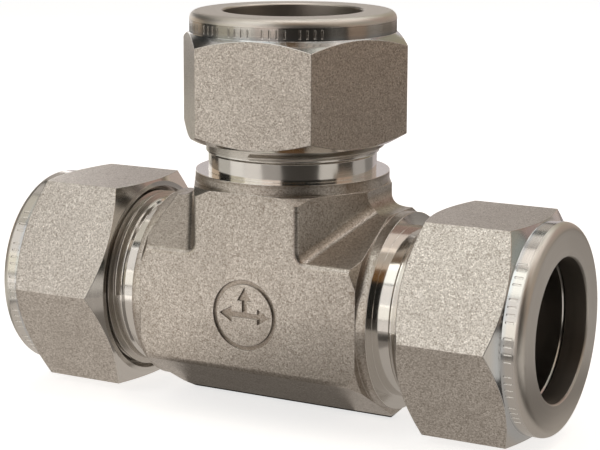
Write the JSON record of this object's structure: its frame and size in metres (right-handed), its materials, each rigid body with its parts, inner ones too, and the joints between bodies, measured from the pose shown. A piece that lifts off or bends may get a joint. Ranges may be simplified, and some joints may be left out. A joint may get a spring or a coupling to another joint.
{
  "type": "tube union tee",
  "caption": "Compression union tee for 19.05 mm tube: hexagonal forged body with threaded ends, each closed by a hexagon nut over a front and a back ferrule.",
  "frame": {"origin": "on the body's bottom ridge, directly under the crossing of the three port centrelines", "axes": "+X along the run to the right-hand port, -Y the front flat with the mark, +Z along the branch"},
  "size_m": [0.0798, 0.033, 0.0553],
  "materials": {
    "body": "fine blasted forging, turned ends",
    "nut": "fine blasted flats, satin turned collar",
    "ferrule": "bright turned"
  },
  "bodies": {
    "fitting_body": {"tee_body": "body"},
    "back_ferrule_left": {"back_ferrule_left": "ferrule"},
    "front_ferrule_left": {"front_ferrule_left": "ferrule"},
    "nut_left": {"nut_left": "nut"},
    "back_ferrule_right": {"back_ferrule_right": "ferrule"},
    "front_ferrule_right": {"front_ferrule_right": "ferrule"},
    "nut_right": {"nut_right": "nut"},
    "back_ferrule_branch": {"back_ferrule_branch": "ferrule"},
    "front_ferrule_branch": {"front_ferrule_branch": "ferrule"},
    "nut_branch": {"nut_branch": "nut"}
  },
  "joints": [
    {"name": "nut_turn_left", "type": "hinge", "parent": "back_ferrule_left", "child": "nut_left", "pos_m": [-0.0311, 0, 0.01543], "axis": [-1, 0, 0], "range_deg": [0, 2160]},
    {"name": "back_ferrule_slide_left", "type": "slide", "parent": "fitting_body", "child": "back_ferrule_left", "axis": [-1, 0, 0], "range_m": [0, 0.00764]},
    {"name": "front_ferrule_slide_left", "type": "slide", "parent": "fitting_body", "child": "front_ferrule_left", "axis": [-1, 0, 0], "range_m": [0, 0.00383]},
    {"name": "nut_turn_right", "type": "hinge", "parent": "back_ferrule_right", "child": "nut_right", "pos_m": [0.0311, 0, 0.01543], "axis": [1, 0, 0], "range_deg": [0, 2160]},
    {"name": "back_ferrule_slide_right", "type": "slide", "parent": "fitting_body", "child": "back_ferrule_right", "axis": [1, 0, 0], "range_m": [0, 0.00764]},
    {"name": "front_ferrule_slide_right", "type": "slide", "parent": "fitting_body", "child": "front_ferrule_right", "axis": [1, 0, 0], "range_m": [0, 0.00383]},
    {"name": "nut_turn_branch", "type": "hinge", "parent": "back_ferrule_branch", "child": "nut_branch", "pos_m": [0, 0, 0.04653], "axis": [0, 0, 1], "range_deg": [0, 2160]},
    {"name": "back_ferrule_slide_branch", "type": "slide", "parent": "fitting_body", "child": "back_ferrule_branch", "axis": [0, 0, 1], "range_m": [0, 0.00764]},
    {"name": "front_ferrule_slide_branch", "type": "slide", "parent": "fitting_body", "child": "front_ferrule_branch", "axis": [0, 0, 1], "range_m": [0, 0.00383]}
  ],
  "couplings": [
    {"joint": "back_ferrule_slide_left", "follows": "nut_turn_left", "m_per_rad": 0.00020213},
    {"joint": "front_ferrule_slide_left", "follows": "nut_turn_left", "m_per_rad": 0.00010106},
    {"joint": "back_ferrule_slide_right", "follows": "nut_turn_right", "m_per_rad": 0.00020213},
    {"joint": "front_ferrule_slide_right", "follows": "nut_turn_right", "m_per_rad": 0.00010106},
    {"joint": "back_ferrule_slide_branch", "follows": "nut_turn_branch", "m_per_rad": 0.00020213},
    {"joint": "front_ferrule_slide_branch", "follows": "nut_turn_branch", "m_per_rad": 0.00010106}
  ]
}
